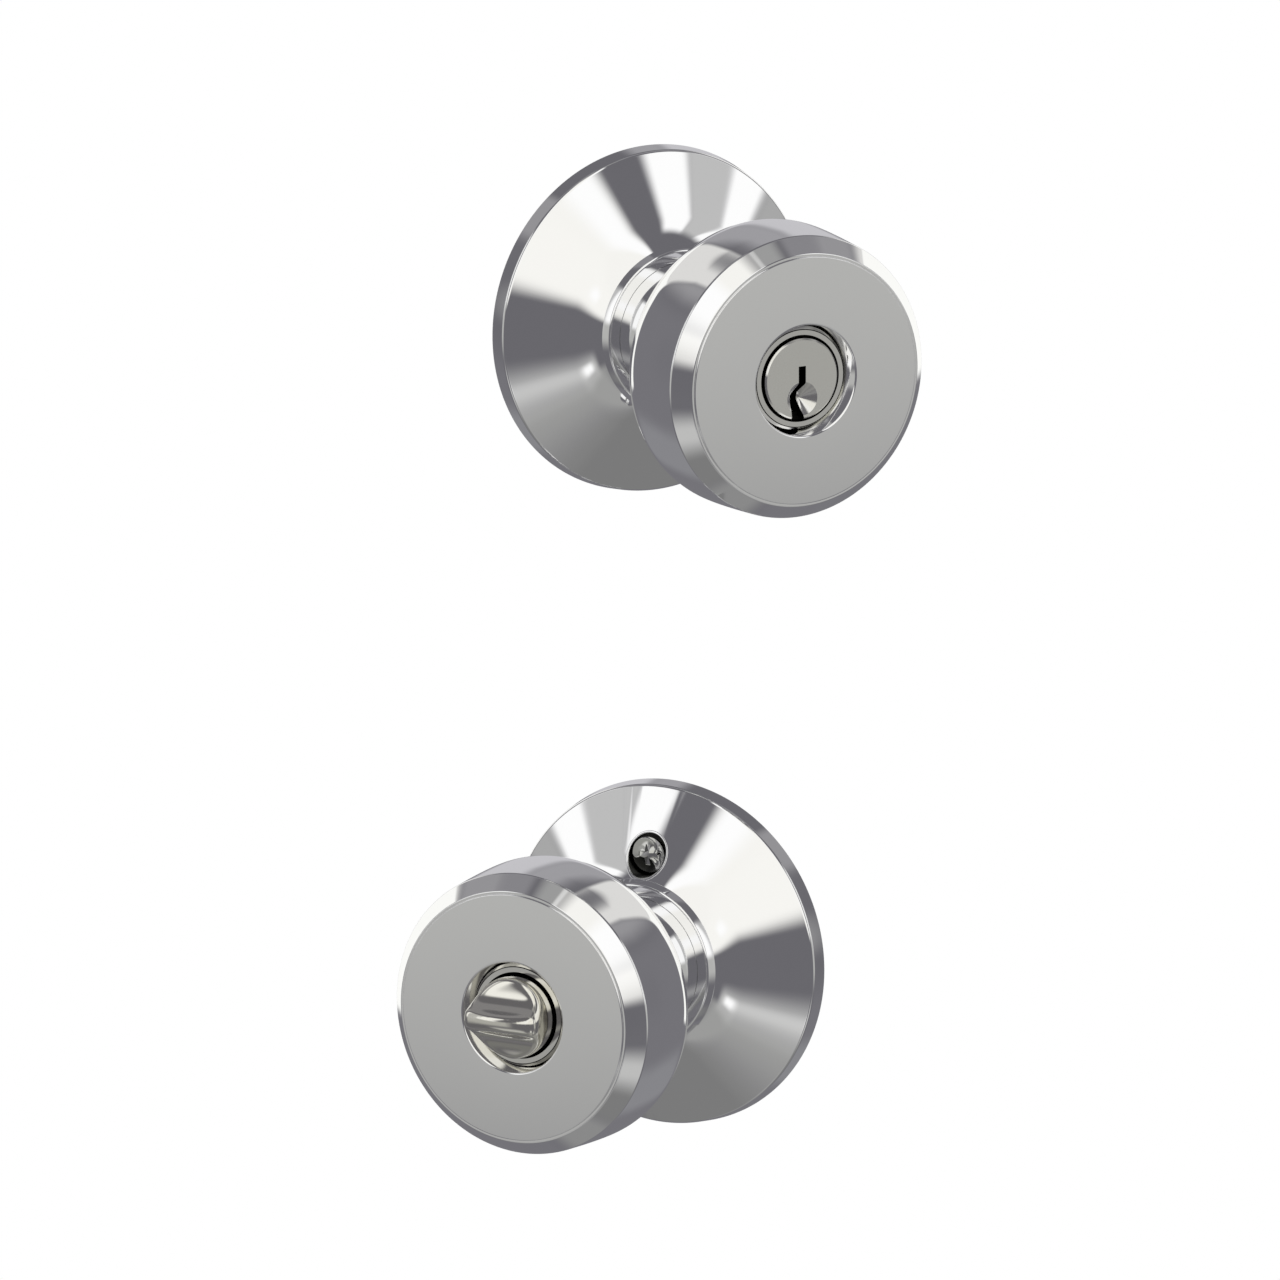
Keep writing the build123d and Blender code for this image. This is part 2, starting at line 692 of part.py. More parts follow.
def key_section():
    """Section of the keyway: a slot that sways to one side and widens to the plug's foot."""
    left = KEY_SIDE - KEY_SLOT / 2
    right = KEY_SIDE + KEY_SLOT / 2
    low_left = left - KEY_SWAY
    low_right = low_left + KEY_LOW_SLOT
    bend_left = -KEY_BEND - (left - low_left)
    bend_right = -KEY_BEND - (right - low_right)
    foot = -PLUG_HEAD_RADIUS
    foot_left = -KEY_FOOT_SIDE - KEY_FOOT / 2
    corners = [
        (left, KEY_TOP),
        (right, KEY_TOP),
        (right, -KEY_BEND),
        (low_right, bend_right),
        (low_right, bend_right - KEY_FLARE),
        (foot_left + KEY_FOOT, foot),
        (foot_left, foot),
        (low_left, bend_left - KEY_FLARE),
        (low_left, bend_left),
        (left, -KEY_BEND),
    ]
    section = make_face(Polyline(*corners, close=True))
    for number in (2, 3, 8, 9):
        corner = section.vertices().sort_by_distance(Vector(*corners[number]))[0]
        section = fillet(corner, KEY_BEND_ROUND)
    return section


def groove_ring(radius, out):
    """The groove that a clip of the given shaft radius sits in, its front face at out."""
    return ring(radius - CLIP_GRIP, radius + CLIP_STAND, out + RUN_FIT, out - CLIP_THICK - RUN_FIT)


def clip(radius, out):
    """Open clip in a shaft's groove."""
    outer = radius + CLIP_STAND
    band = ring(radius - CLIP_GRIP + RUN_FIT, outer, out, out - CLIP_THICK)
    return band - block(-CLIP_MOUTH / 2, CLIP_MOUTH / 2, out, out - CLIP_THICK, -outer, 0)


def plug_clip_out():
    """Front face of the plug's clip, just behind the cylinder housing."""
    return SHELL_END - FREE_GAP


def cylinder_plug():
    """Plug with its keyway, the coned key entry, five pin chambers and the tailpiece slot."""
    plug = turned([
        (0, PLUG_FACE),
        (PLUG_HEAD_RADIUS - PLUG_CHAMFER, PLUG_FACE),
        (PLUG_HEAD_RADIUS, PLUG_FACE - PLUG_CHAMFER),
        (PLUG_HEAD_RADIUS, PLUG_FACE - PLUG_HEAD),
        (PLUG_RADIUS, PLUG_FACE - PLUG_HEAD),
        (PLUG_RADIUS, PLUG_END),
        (0, PLUG_END),
    ])
    front = Plane((0, -PLUG_FACE, 0), x_dir=(1, 0, 0), z_dir=(0, -1, 0))
    last_pin = pin_places()[-1] - PIN_PITCH
    plug -= extrude(front * key_section(), -(PLUG_FACE - last_pin))
    cone = Cone(DIMPLE_RADIUS, DIMPLE_POINT, DIMPLE_DEPTH, rotation=(-90, 0, 0))
    plug -= Pos(KEY_SIDE, -(PLUG_FACE - DIMPLE_DEPTH / 2), -DIMPLE_DROP) * cone
    for out in pin_places():
        plug -= upright(PIN_RADIUS + RUN_FIT, PIN_FLOOR, PLUG_RADIUS, out)
    plug -= groove_ring(PLUG_RADIUS, plug_clip_out())
    half = TAIL_WIDTH / 2 + RUN_FIT
    slot = TAIL_THICK / 2 + RUN_FIT
    return plug - block(-half, half, PLUG_END, PLUG_END + TAIL_SLOT, -slot, slot)


def tailpiece():
    """Flat bar from the plug through the spindle to the turn button's shaft."""
    return block(-TAIL_WIDTH / 2, TAIL_WIDTH / 2, PLUG_END + TAIL_SLOT - RUN_FIT, TAIL_END,
                 -TAIL_THICK / 2, TAIL_THICK / 2)


def button_sleeve():
    """Sleeve in the inside knob that the turn button works in, with a web round its shaft."""
    web_back = BUTTON_WEB_OUT - BUTTON_WEB
    return turned([
        (NOSE_BORE, FLOOR_OUT),
        (NOSE_RADIUS, FLOOR_OUT),
        (NOSE_RADIUS, SHELL_STEP),
        (NECK_BORE - RUN_FIT, SHELL_STEP),
        (NECK_BORE - RUN_FIT, SHELL_END),
        (SLEEVE_BORE, SHELL_END),
        (SLEEVE_BORE, web_back),
        (BUTTON_SHAFT + RUN_FIT, web_back),
        (BUTTON_SHAFT + RUN_FIT, BUTTON_WEB_OUT),
        (NOSE_BORE, BUTTON_WEB_OUT),
    ])


def turn_button():
    """Domed button with a scoop cut above and below, which leaves a bar to hold."""
    foot = BUTTON_WEB_OUT + FREE_GAP
    centre = BUTTON_CREST - BUTTON_DOME
    shoulder = centre + sqrt(BUTTON_DOME ** 2 - BUTTON_RADIUS ** 2)
    outline = [
        Line((0, -foot), (BUTTON_RADIUS, -foot)),
        Line((BUTTON_RADIUS, -foot), (BUTTON_RADIUS, -shoulder)),
        ThreePointArc((BUTTON_RADIUS, -shoulder), dome_point(centre, shoulder), (0, -BUTTON_CREST)),
        Line((0, -BUTTON_CREST), (0, -foot)),
    ]
    button = revolve(make_face(outline), Axis.Y)
    scoop = Cylinder(SCOOP_RADIUS, 4 * BUTTON_RADIUS, rotation=(0, 90, 0))
    for up in (SCOOP_UP, -SCOOP_UP):
        button -= Pos(0, -SCOOP_OUT, up) * scoop
    front = [edge for edge in button.edges() if edge.center().Y < -(shoulder - FREE_GAP)]
    button = fillet(front, SCOOP_ROUND)
    return button - rod(BUTTON_SHAFT + RUN_FIT, foot, foot + BUTTON_SOCKET)


def dome_point(centre, shoulder):
    """Point of the button's dome half way between its shoulder and its crest."""
    angle = atan2(shoulder - centre, BUTTON_RADIUS)
    half = (angle + radians(90)) / 2
    return (BUTTON_DOME * cos(half), -(centre + BUTTON_DOME * sin(half)))


def button_clip_out():
    """Front face of the button shaft's clip, just behind the sleeve's web."""
    return BUTTON_WEB_OUT - BUTTON_WEB - FREE_GAP


def button_shaft():
    """Steel shaft in the turn button, slotted at its end for the tailpiece."""
    shaft = rod(BUTTON_SHAFT, BUTTON_WEB_OUT + FREE_GAP + BUTTON_SOCKET - RUN_FIT, BUTTON_SHAFT_END)
    shaft -= groove_ring(BUTTON_SHAFT, button_clip_out())
    slot = TAIL_THICK / 2 + SLIDE_FIT
    return shaft - block(-BUTTON_SHAFT, BUTTON_SHAFT, BUTTON_SHAFT_END + BUTTON_SLOT_DEPTH,
                         BUTTON_SHAFT_END, -slot, slot)


def common_pieces(half):
    """The pieces that both halves share."""
    return {
        half + "_bearing": bearing(),
        half + "_spring_cage": spring_cage(),
        half + "_return_spring": return_spring(),
        half + "_stop_washer": stop_washer(),
        half + "_retaining_ring": retaining_ring(),
        half + "_knob_body": knob_body(),
        half + "_knob_face": knob_face(),
    }


outside_half = common_pieces("outside")
outside_half.update({
    "outside_rose": rose(),
    "outside_mounting_plate": outside_mounting_plate(),
    "outside_screw_posts": screw_posts(),
    "outside_spindle": outside_spindle(),
    "cylinder_shell": cylinder_shell(),
    "chamber_cover": chamber_cover(),
    "driver_pins": driver_pins(),
    "pin_springs": pin_springs(),
    "cylinder_plug": cylinder_plug(),
    "bottom_pins": bottom_pins(),
    "plug_clip": clip(PLUG_RADIUS, plug_clip_out()),
    "tailpiece": tailpiece(),
})

inside_half = common_pieces("inside")
inside_half.update({
    "inside_rose": inside_rose(),
    "inside_mounting_plate": inside_mounting_plate(),
    "mounting_screws": mounting_screws(),
    "inside_drive_sleeve": inside_drive_sleeve(),
    "button_sleeve": button_sleeve(),
    "turn_button": turn_button(),
    "button_shaft": button_shaft(),
    "button_clip": clip(BUTTON_SHAFT, button_clip_out()),
})

inside_place = Pos(INSIDE_SIDE, INSIDE_BACK, INSIDE_DROP) * Rot(0, 0, INSIDE_TURN)

os.makedirs("parts", exist_ok=True)
for node, piece in outside_half.items():
    export_step(piece, "parts/" + node + ".step")
for node, piece in inside_half.items():
    export_step(inside_place * piece, "parts/" + node + ".step")
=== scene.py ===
from math import cos, pi, radians, sin, sqrt, tan

import bpy
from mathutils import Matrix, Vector


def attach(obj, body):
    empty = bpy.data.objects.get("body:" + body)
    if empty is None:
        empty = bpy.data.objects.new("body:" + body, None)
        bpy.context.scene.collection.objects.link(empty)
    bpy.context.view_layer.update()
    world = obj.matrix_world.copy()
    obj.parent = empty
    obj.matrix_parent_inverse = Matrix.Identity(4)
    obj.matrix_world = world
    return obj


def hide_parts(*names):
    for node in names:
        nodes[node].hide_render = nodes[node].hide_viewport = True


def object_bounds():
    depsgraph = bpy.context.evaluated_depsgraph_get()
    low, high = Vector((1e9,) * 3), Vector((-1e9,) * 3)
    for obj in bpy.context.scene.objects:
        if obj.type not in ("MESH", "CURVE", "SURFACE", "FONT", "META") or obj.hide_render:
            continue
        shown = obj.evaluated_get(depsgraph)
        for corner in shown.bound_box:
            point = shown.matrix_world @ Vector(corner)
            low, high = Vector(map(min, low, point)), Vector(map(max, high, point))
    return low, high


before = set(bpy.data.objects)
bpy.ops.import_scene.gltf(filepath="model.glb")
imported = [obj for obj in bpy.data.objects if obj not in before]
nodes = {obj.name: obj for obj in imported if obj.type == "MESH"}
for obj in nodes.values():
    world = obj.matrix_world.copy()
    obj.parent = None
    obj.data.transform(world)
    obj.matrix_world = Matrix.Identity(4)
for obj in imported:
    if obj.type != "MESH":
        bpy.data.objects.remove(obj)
cad_box = [list(corner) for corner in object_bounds()]


# Roses
# The cover plates on the door, spun from sheet brass, mirror polished and plated with chrome.
# The outside one is plain. The inside one keeps its pressed wells for the two screws.

def paint(code):
    """Linear colour of an sRGB hex code."""
    channels = [int(code[i:i + 2], 16) / 255 for i in (1, 3, 5)]
    linear = [c / 12.92 if c <= 0.04045 else ((c + 0.055) / 1.055) ** 2.4 for c in channels]
    return (*linear, 1.0)


def add_node(tree, kind, settings=None, inputs=None, links=None):
    """A node of a kind, with its settings, input values and links from other sockets."""
    node = tree.nodes.new(kind)
    for name, value in (settings or {}).items():
        setattr(node, name, value)
    for name, value in (inputs or {}).items():
        node.inputs[name].default_value = value
    for name, socket in (links or {}).items():
        tree.links.new(socket, node.inputs[name])
    return node


def new_finish(name):
    """An empty material with its shader, its output and Object coordinates."""
    finish = bpy.data.materials.new(name)
    finish.use_nodes = True
    tree = finish.node_tree
    tree.nodes.clear()
    shader = add_node(tree, "ShaderNodeBsdfPrincipled")
    output = add_node(tree, "ShaderNodeOutputMaterial")
    tree.links.new(shader.outputs["BSDF"], output.inputs["Surface"])
    place = add_node(tree, "ShaderNodeTexCoord")
    return finish, tree, shader, place.outputs["Object"]


def dress(finish, *names):
    """Gives CAD nodes a finish in place of the plain one they came with."""
    for name in names:
        nodes[name].data.materials.clear()
        nodes[name].data.materials.append(finish)


def pick(piece, places):
    """Selects, in edit mode, the points of a piece that lie at the given places."""
    bpy.ops.mesh.select_all(action="DESELECT")
    bpy.ops.object.mode_set(mode="OBJECT")
    for vertex in piece.data.vertices:
        vertex.select = any((vertex.co - place).length < 1e-6 for place in places)
    bpy.ops.object.mode_set(mode="EDIT")


LATHE_STEPS = 288
ROUND_STEPS = 24
EDGE_STEPS = 8
SHARP_EDGE = radians(20)


def turn_on_lathe(name, section):
    """A piece turned about the outside knob's axis, from its section in millimetres.

    Each corner is a radius, a distance out of the door, and how far back from the corner its
    round starts. The section is drawn from corner to corner, rounded, and spun once round.
    """
    bpy.ops.object.select_all(action="DESELECT")
    bpy.ops.mesh.primitive_plane_add(size=0.001)
    piece = bpy.context.object
    piece.name = name
    piece.data.name = name
    places = [Vector((radius, -out, 0)) / 1000 for radius, out, start in section]
    bpy.ops.object.mode_set(mode="EDIT")
    bpy.ops.mesh.select_mode(type="VERT")
    bpy.ops.mesh.merge(type="CENTER")
    bpy.ops.transform.translate(value=places[0])
    for before, place in zip(places, places[1:]):
        bpy.ops.mesh.extrude_vertices_move(TRANSFORM_OT_translate={"value": place - before})
    pick(piece, [places[0], places[-1]])
    bpy.ops.mesh.edge_face_add()
    for place, (radius, out, start) in zip(places, section):
        if start:
            pick(piece, [place])
            bpy.ops.mesh.bevel(offset=start / 1000, affect="VERTICES",
                               segments=ROUND_STEPS if start > 1 else EDGE_STEPS)
    bpy.ops.mesh.select_all(action="SELECT")
    bpy.ops.mesh.spin(steps=LATHE_STEPS, angle=2 * pi, center=(0, 0, 0), axis=(0, 1, 0))
    bpy.ops.mesh.select_all(action="SELECT")
    bpy.ops.mesh.remove_doubles(threshold=1e-7)
    bpy.ops.mesh.normals_make_consistent(inside=False)
    bpy.ops.object.mode_set(mode="OBJECT")
    bpy.ops.object.shade_smooth_by_angle(angle=SHARP_EDGE)
    flats = piece.modifiers.new("flats", "WEIGHTED_NORMAL")
    flats.keep_sharp = True
    bpy.ops.object.modifier_apply(modifier=flats.name)
    return piece


INSIDE_TURN = radians(-58)
INSIDE_PLACE = (0.0039, -0.0022, -0.1202)


def put_inside(piece):
    """Turns and moves a piece from the outside half's frame to its place in the inside half."""
    bpy.ops.object.select_all(action="DESELECT")
    piece.select_set(True)
    bpy.context.view_layer.objects.active = piece
    piece.rotation_euler = (0, 0, INSIDE_TURN)
    piece.location = INSIDE_PLACE
    bpy.ops.object.transform_apply(location=True, rotation=True, scale=True)


def copy_inside(piece, name, placed=True):
    """A copy of an outside piece for the inside half, put in its place there if asked."""
    bpy.ops.object.select_all(action="DESELECT")
    piece.select_set(True)
    bpy.context.view_layer.objects.active = piece
    bpy.ops.object.duplicate()
    copy = bpy.context.object
    copy.name = name
    copy.data.name = name
    if placed:
        put_inside(copy)
    return copy


# A mirror: the haze left by the polishing mop comes and goes over about 5 mm.
chrome, tree, shader, place = new_finish("polished_chrome_plate")
shader.inputs["Base Color"].default_value = paint("#F8F8F8")
shader.inputs["Metallic"].default_value = 1.0
haze = add_node(tree, "ShaderNodeTexNoise", inputs={"Scale": 1 / 0.005, "Detail": 3.0},
                links={"Vector": place})
haze_range = add_node(tree, "ShaderNodeMapRange", inputs={"To Min": 0.025, "To Max": 0.05},
                      links={"Value": haze.outputs["Fac"]})
tree.links.new(haze_range.outputs["Result"], shader.inputs["Roughness"])
dress(chrome, "outside_rose", "inside_rose", "outside_knob_body", "inside_knob_body",
      "outside_knob_face", "inside_knob_face")

# The cone is straight to a radius of 20.8 mm. From there it flares up, ever more steeply, to
# a low wall with a rounded lip round the neck. Slopes are in degrees, lengths in millimetres.
CONE_SLOPE = 26.6
FLARE_START = 20.8
FLARE_OUT = 8.96
FLARE_RISE = 13.4
FLARE_SPAN = 4.5
FLARE_CURVE = 1.7
FLARE_RINGS = 48
RING_STEP = 0.1
flare = [(FLARE_START, FLARE_OUT, 0)]
for ring in range(FLARE_RINGS):
    radius, out, start = flare[-1]
    along_flare = (FLARE_START - radius + RING_STEP / 2) / FLARE_SPAN
    slope = radians(CONE_SLOPE + FLARE_RISE * along_flare ** FLARE_CURVE)
    flare.append((radius - RING_STEP, out + RING_STEP * tan(slope), 0))
rose = turn_on_lathe("outside_rose_plate", [
    (31.6, 0.0, 0),
    (32.5, 0.0, 0.1),
    (32.05, 3.32, 0.4),
    *flare,
    (15.35, 13.6, 0.35),
    (13.18, 13.6, 0.05),
    (13.18, 12.0, 0),
    (21.0, 7.94, 0),
    (31.6, 2.64, 0),
])
rose.data.materials.append(chrome)

# The inside rose is the same pressing with a hole for each well, and a drawn cup set in the hole.
# The cut edge lies under the cup's lip, and the cone keeps the whole plate's smooth shading.
WELL_UP = 0.020
WELL_HOLE = 0.0042
CONE_INNER = 0.0140
CONE_OUTER = 0.0290
CUTTER_LENGTH = 0.04


def cut_round(piece, radius, place, turn, sides):
    """Cuts a piece with a round cutter at a place, its axis turned from upright."""
    bpy.ops.object.select_all(action="DESELECT")
    bpy.ops.mesh.primitive_cylinder_add(vertices=sides, radius=radius, depth=CUTTER_LENGTH,
                                        location=place, rotation=turn)
    cutter = bpy.context.object
    bpy.context.view_layer.objects.active = piece
    cut = piece.modifiers.new("cut", "BOOLEAN")
    cut.object = cutter
    bpy.ops.object.modifier_apply(modifier=cut.name)
    bpy.data.objects.remove(cutter)


inside_rose = copy_inside(rose, "inside_rose_plate", placed=False)
for up in (WELL_UP, -WELL_UP):
    cut_round(inside_rose, WELL_HOLE, (0, 0, up), (radians(90), 0, 0), sides=96)
cone = inside_rose.vertex_groups.new(name="cone")
cone.add([vertex.index for vertex in inside_rose.data.vertices
          if CONE_INNER < vertex.co.xz.length < CONE_OUTER], 1.0, "ADD")
shading = inside_rose.modifiers.new("shading", "DATA_TRANSFER")
shading.object = rose
shading.vertex_group = cone.name
shading.use_loop_data = True
shading.data_types_loops = {"CUSTOM_NORMAL"}
shading.loop_mapping = "POLYINTERP_NEAREST"
bpy.ops.object.modifier_apply(modifier=shading.name)

# The cup is left bare inside, and is painted dark below its lip as painted shade in the well.
painted_well_shade, tree, shader, place = new_finish("steel_with_painted_well_shade")
shader.inputs["Base Color"].default_value = paint("#2C2C2B")
shader.inputs["Metallic"].default_value = 1.0
# the roughness varies in patches of about 1 mm
patches = add_node(tree, "ShaderNodeTexNoise", inputs={"Scale": 1 / 0.001},
                   links={"Vector": place})
patch_range = add_node(tree, "ShaderNodeMapRange", inputs={"To Min": 0.25, "To Max": 0.45},
                       links={"Value": patches.outputs["Fac"]})
tree.links.new(patch_range.outputs["Result"], shader.inputs["Roughness"])

# Lip corners of the cup are drawn at a mark far out, and then laid on the rose under them.
LIP_MARK = 0.020
LIP_DEPTH = 0.001
CLEAR_OF_ROSE = -0.05
cup = turn_on_lathe("upper_screw_well", [
    (4.35, 19.6, 0),
    (4.35, 20.03, 0.12),
    (3.85, 20.03, 0.26),
    (3.85, 7.12, 0.15),
    (2.5, 7.12, 0),
    (2.5, 6.25, 0),
    (4.35, 6.25, 0),
])
cup.data.materials.append(chrome)
cup.data.materials.append(painted_well_shade)
# faces below the lip get the dark painted shade
for side_face in cup.data.polygons:
    depths = [-cup.data.vertices[number].co.y for number in side_face.vertices]
    side_face.material_index = 1 if min(depths) < LIP_MARK - LIP_DEPTH else 0
lower_cup = copy_inside(cup, "lower_screw_well", placed=False)
for well, up in ((cup, WELL_UP), (lower_cup, -WELL_UP)):
    for vertex in well.data.vertices:
        vertex.co.z += up
        if -vertex.co.y > LIP_MARK - LIP_DEPTH:
            over = (vertex.co.x, CLEAR_OF_ROSE, vertex.co.z)
            met, spot, facing, number = rose.ray_cast(over, (0, 1, 0))
            vertex.co.y += LIP_MARK + spot.y
    well.data.update()
for piece in (inside_rose, cup, lower_cup):
    put_inside(piece)
for piece in (rose, inside_rose, cup, lower_cup):
    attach(piece, "root")
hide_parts("outside_rose")
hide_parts("inside_rose")


# Plates, cages, posts and spindles
# Pressed and turned steel behind the roses, with bright zinc plate over fine tool marks.

zinc, tree, shader, place = new_finish("bright_zinc_plate")
shader.inputs["Metallic"].default_value = 1.0
# the plate's spangle is about 7 mm across
cloud = add_node(tree, "ShaderNodeTexNoise", inputs={"Scale": 1 / 0.007, "Detail": 4.0},
                 links={"Vector": place})
tone = add_node(tree, "ShaderNodeMix", {"data_type": "RGBA"},
                {6: paint("#A9AEB4"), 7: paint("#C6C8C6")}, {"Factor": cloud.outputs["Fac"]})
tree.links.new(tone.outputs[2], shader.inputs["Base Color"])
dull = add_node(tree, "ShaderNodeMapRange", inputs={"To Min": 0.26, "To Max": 0.42},
                links={"Value": cloud.outputs["Fac"]})
tree.links.new(dull.outputs["Result"], shader.inputs["Roughness"])
dress(zinc, "outside_mounting_plate", "inside_mounting_plate", "outside_screw_posts",
      "outside_spring_cage", "inside_spring_cage", "outside_spindle", "inside_drive_sleeve",
      "outside_stop_washer", "inside_stop_washer", "tailpiece", "button_shaft")


# Springs, rings and clips
# Oiled spring steel, dark grey with a soft sheen, blotched where the oil lies thicker.

spring_steel, tree, shader, place = new_finish("oiled_spring_steel")
shader.inputs["Base Color"].default_value = paint("#77787C")
shader.inputs["Metallic"].default_value = 1.0
# the blotches are about 1 mm across
grain = add_node(tree, "ShaderNodeTexNoise", inputs={"Scale": 1 / 0.001}, links={"Vector": place})
sheen = add_node(tree, "ShaderNodeMapRange", inputs={"To Min": 0.22, "To Max": 0.36},
                 links={"Value": grain.outputs["Fac"]})
tree.links.new(sheen.outputs["Result"], shader.inputs["Roughness"])
dress(spring_steel, "outside_return_spring", "inside_return_spring", "outside_retaining_ring",
      "inside_retaining_ring", "plug_clip", "button_clip", "pin_springs")


# Bearing bushes
# Sintered bronze: matt, with dark pores that hold the oil.

bronze, tree, shader, place = new_finish("sintered_bronze")
shader.inputs["Metallic"].default_value = 1.0
shader.inputs["Roughness"].default_value = 0.5
# real pores are 0.05 mm, drawn here at 0.6 mm so that they show
pores = add_node(tree, "ShaderNodeTexNoise", inputs={"Scale": 1 / 0.0006}, links={"Vector": place})
tone = add_node(tree, "ShaderNodeMix", {"data_type": "RGBA"},
                {6: paint("#6E5433"), 7: paint("#B98F58")}, {"Factor": pores.outputs["Fac"]})
tree.links.new(tone.outputs[2], shader.inputs["Base Color"])
dress(bronze, "outside_bearing", "inside_bearing")


# Knobs
# Each knob is drawn in one piece with its neck, its back rolled round and its front bevelled.
# It is polished and plated with the same chrome as the rose.

knob = turn_on_lathe("outside_knob_shell", [
    (11.15, -3.0, 0),
    (13.15, -3.0, 0),
    (13.15, -1.05, 0),
    (11.95, -1.05, 0),
    (11.95, 0.05, 0),
    (13.15, 0.05, 0),
    (13.15, 36.3, 0.8),
    (26.75, 36.3, 7.6),
    (27.05, 46.5, 6.0),
    (26.45, 56.5, 0.23),
    (23.7, 59.8, 0.14),
    (21.1, 59.8, 0),
    (21.1, 58.7, 0),
    (25.1, 54.6, 0),
    (25.1, 37.9, 6.3),
    (11.15, 37.9, 0),
])
knob.data.materials.append(chrome)
inside_knob = copy_inside(knob, "inside_knob_shell")
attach(knob, "outside_knob")
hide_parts("outside_knob_body")
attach(inside_knob, "inside_knob")
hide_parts("inside_knob_body")


# Face plates
# A pressed chrome plate sits on the lip in each knob's front, and dishes in to a cup that takes
# the key cylinder or the turn button.

face = turn_on_lathe("outside_face_plate", [
    (10.5, 60.25, 0.25),
    (17.0, 60.2, 0),
    (23.2, 60.06, 0.2),
    (23.2, 59.8, 0),
    (20.9, 59.8, 0),
    (20.9, 57.5, 0),
    (20.1, 57.5, 0),
    (20.1, 59.25, 0),
    (11.3, 59.25, 0),
    (9.95, 57.2, 0),
    (9.15, 57.2, 0),
    (9.15, 58.0, 0.1),
])
face.data.materials.append(chrome)
inside_face = copy_inside(face, "inside_face_plate")
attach(face, "outside_knob")
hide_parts("outside_knob_face")
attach(inside_face, "inside_knob")
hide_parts("inside_knob_face")


# Cylinder housing and button sleeve
# Turned brass with bright nickel plate on the nose. The bore behind it is painted dark as painted
# shade, so the gap round the plug and round the button is dark.

NOSE_BORE = 0.00817
NOSE_FRONT = 0.05792


def bore_with_painted_shade(name, turn, shift):
    """Nickel plate with a bore painted dark as painted shade, inside a radius and behind the
    nose's front.
    """
    finish, tree, shader, place = new_finish(name)
    shader.inputs["Metallic"].default_value = 1.0
    own = add_node(tree, "ShaderNodeMapping", {"vector_type": "TEXTURE"},
                   {"Rotation": (0, 0, turn), "Location": shift}, {"Vector": place})
    axes = add_node(tree, "ShaderNodeSeparateXYZ", links={"Vector": own.outputs["Vector"]})
    flat = add_node(tree, "ShaderNodeCombineXYZ",
                    links={"X": axes.outputs["X"], "Y": axes.outputs["Z"]})
    away = add_node(tree, "ShaderNodeVectorMath", {"operation": "LENGTH"},
                    links={0: flat.outputs["Vector"]})
    within = add_node(tree, "ShaderNodeMath", {"operation": "LESS_THAN"}, {1: NOSE_BORE},
                      {0: away.outputs["Value"]})
    behind = add_node(tree, "ShaderNodeMath", {"operation": "GREATER_THAN"}, {1: -NOSE_FRONT},
                      {0: axes.outputs["Y"]})
    # the bore inside this radius and behind the nose's front gets painted shade
    painted_bore_shade = add_node(tree, "ShaderNodeMath", {"operation": "MULTIPLY"},
                       links={0: within.outputs[0], 1: behind.outputs[0]})
    tone = add_node(tree, "ShaderNodeMix", {"data_type": "RGBA"},
                    {6: paint("#E2E1DD"), 7: paint("#262624")}, {"Factor": painted_bore_shade.outputs[0]})
    tree.links.new(tone.outputs[2], shader.inputs["Base Color"])
    # polishing haze over about 2 mm on the plate, and matt in the painted-shade bore
    haze = add_node(tree, "ShaderNodeTexNoise", inputs={"Scale": 1 / 0.002},
                    links={"Vector": place})
    bright = add_node(tree, "ShaderNodeMapRange", inputs={"To Min": 0.05, "To Max": 0.1},
                      links={"Value": haze.outputs["Fac"]})
    rough = add_node(tree, "ShaderNodeMix", inputs={"B": 0.55},
                     links={"Factor": painted_bore_shade.outputs[0], "A": bright.outputs["Result"]})
    tree.links.new(rough.outputs[0], shader.inputs["Roughness"])
    return finish


dress(bore_with_painted_shade("nickel_plated_housing", 0, (0, 0, 0)), "cylinder_shell")
dress(bore_with_painted_shade("nickel_plated_sleeve", INSIDE_TURN, INSIDE_PLACE), "button_sleeve")


# Plug
# Turned brass with satin nickel plate. The face is finely lapped, so it looks an even olive grey.
# The keyway's walls are painted near black as painted shade, and the side of the head is painted
# darker as painted shade.

HEAD_SIDE = 0.00755
FACE_TILT = 0.3
satin, tree, shader, place = new_finish("satin_nickel_plate")
shader.inputs["Metallic"].default_value = 1.0
# walls that run along the plug are the keyway's, or the head's where they lie far enough out; both
# get painted shade
surface = add_node(tree, "ShaderNodeNewGeometry")
facing = add_node(tree, "ShaderNodeSeparateXYZ", links={"Vector": surface.outputs["True Normal"]})
tilt = add_node(tree, "ShaderNodeMath", {"operation": "ABSOLUTE"}, links={0: facing.outputs["Y"]})
wall = add_node(tree, "ShaderNodeMath", {"operation": "LESS_THAN"}, {1: FACE_TILT},
                {0: tilt.outputs[0]})
axes = add_node(tree, "ShaderNodeSeparateXYZ", links={"Vector": place})
flat = add_node(tree, "ShaderNodeCombineXYZ",
                links={"X": axes.outputs["X"], "Y": axes.outputs["Z"]})
away = add_node(tree, "ShaderNodeVectorMath", {"operation": "LENGTH"},
                links={0: flat.outputs["Vector"]})
head = add_node(tree, "ShaderNodeMath", {"operation": "GREATER_THAN"}, {1: HEAD_SIDE},
                {0: away.outputs["Value"]})
painted_wall_shade = add_node(tree, "ShaderNodeMix", {"data_type": "RGBA"},
                     {6: paint("#0B0B0A"), 7: paint("#A9A89E")}, {"Factor": head.outputs[0]})
tone = add_node(tree, "ShaderNodeMix", {"data_type": "RGBA"}, {6: paint("#E8E7E2")},
                {"Factor": wall.outputs[0], 7: painted_wall_shade.outputs[2]})
tree.links.new(tone.outputs[2], shader.inputs["Base Color"])
